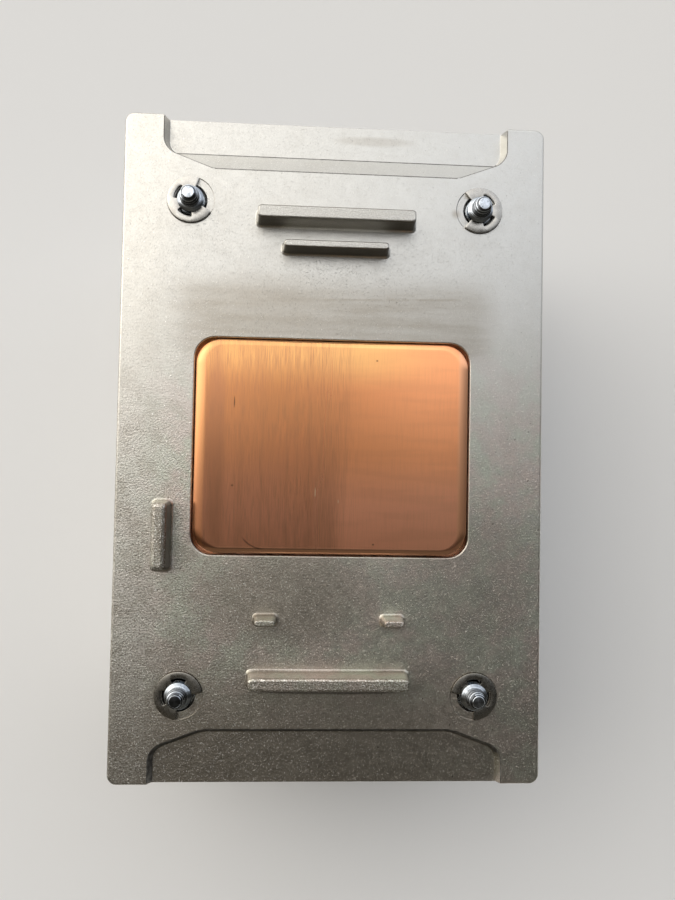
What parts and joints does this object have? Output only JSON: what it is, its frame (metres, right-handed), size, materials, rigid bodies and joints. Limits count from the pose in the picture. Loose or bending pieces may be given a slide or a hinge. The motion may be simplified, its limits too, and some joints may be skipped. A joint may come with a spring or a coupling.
{
  "type": "passive server cpu heatsink",
  "caption": "Tall passive processor heatsink: cast base plate with a proud copper contact slug, captive spring screws on retaining rings, and a stack of thin lengthwise fins.",
  "frame": {"origin": "centre of the copper contact face, midway between the hold-down screws", "axes": "+Z out of the contact face, away from the fins; +Y along the plate's length and the air path, towards the ramped recess; +X across the plate, away from the side rib"},
  "size_m": [0.0816, 0.1272, 0.0678],
  "materials": {
    "cast_aluminium": "tumbled satin",
    "copper": "brushed along Y",
    "pipe_copper": "soldered, matt",
    "fin_aluminium": "rolled sheet",
    "zinc_plated_steel": "bright zinc",
    "spring_steel": "plated wire",
    "ring_steel": "dull plated"
  },
  "bodies": {
    "heatsink": {"base_plate": "cast_aluminium", "contact_slug": "copper", "fin_01": "fin_aluminium", "fin_02": "fin_aluminium", "fin_03": "fin_aluminium", "fin_04": "fin_aluminium", "fin_05": "fin_aluminium", "fin_06": "fin_aluminium", "fin_07": "fin_aluminium", "fin_08": "fin_aluminium", "fin_09": "fin_aluminium", "fin_10": "fin_aluminium", "fin_11": "fin_aluminium", "fin_12": "fin_aluminium", "fin_13": "fin_aluminium", "fin_14": "fin_aluminium", "fin_15": "fin_aluminium", "fin_16": "fin_aluminium", "fin_17": "fin_aluminium", "fin_18": "fin_aluminium", "fin_19": "fin_aluminium", "fin_20": "fin_aluminium", "fin_21": "fin_aluminium", "fin_22": "fin_aluminium", "fin_23": "fin_aluminium", "fin_24": "fin_aluminium", "fin_25": "fin_aluminium", "fin_26": "fin_aluminium", "fin_27": "fin_aluminium", "fin_28": "fin_aluminium", "fin_29": "fin_aluminium", "fin_30": "fin_aluminium", "fin_31": "fin_aluminium", "fin_32": "fin_aluminium", "fin_33": "fin_aluminium", "heat_pipe_1": "pipe_copper", "heat_pipe_2": "pipe_copper", "heat_pipe_3": "pipe_copper", "heat_pipe_4": "pipe_copper", "spring_1": "spring_steel", "spring_2": "spring_steel", "spring_3": "spring_steel", "spring_4": "spring_steel"},
    "ring_1": {"retaining_ring_1": "ring_steel"},
    "screw_1": {"screw_1": "zinc_plated_steel"},
    "ring_2": {"retaining_ring_2": "ring_steel"},
    "screw_2": {"screw_2": "zinc_plated_steel"},
    "ring_3": {"retaining_ring_3": "ring_steel"},
    "screw_3": {"screw_3": "zinc_plated_steel"},
    "ring_4": {"retaining_ring_4": "ring_steel"},
    "screw_4": {"screw_4": "zinc_plated_steel"}
  },
  "joints": [
    {"name": "screw_1_travel", "type": "slide", "parent": "heatsink", "child": "ring_1", "axis": [0, 0, 1], "range_m": [0, 0.004], "stiffness_N_per_m": 6000, "springref_m": -0.002, "deforming": ["spring_1"]},
    {"name": "screw_1_turn", "type": "hinge", "parent": "ring_1", "child": "screw_1", "pos_m": [-0.028, 0.047, 0], "axis": [0, 0, 1], "continuous": true},
    {"name": "screw_2_travel", "type": "slide", "parent": "heatsink", "child": "ring_2", "axis": [0, 0, 1], "range_m": [0, 0.004], "stiffness_N_per_m": 6000, "springref_m": -0.002, "deforming": ["spring_2"]},
    {"name": "screw_2_turn", "type": "hinge", "parent": "ring_2", "child": "screw_2", "pos_m": [0.028, 0.047, 0], "axis": [0, 0, 1], "continuous": true},
    {"name": "screw_3_travel", "type": "slide", "parent": "heatsink", "child": "ring_3", "axis": [0, 0, 1], "range_m": [0, 0.004], "stiffness_N_per_m": 6000, "springref_m": -0.002, "deforming": ["spring_3"]},
    {"name": "screw_3_turn", "type": "hinge", "parent": "ring_3", "child": "screw_3", "pos_m": [-0.028, -0.047, 0], "axis": [0, 0, 1], "continuous": true},
    {"name": "screw_4_travel", "type": "slide", "parent": "heatsink", "child": "ring_4", "axis": [0, 0, 1], "range_m": [0, 0.004], "stiffness_N_per_m": 6000, "springref_m": -0.002, "deforming": ["spring_4"]},
    {"name": "screw_4_turn", "type": "hinge", "parent": "ring_4", "child": "screw_4", "pos_m": [0.028, -0.047, 0], "axis": [0, 0, 1], "continuous": true}
  ]
}
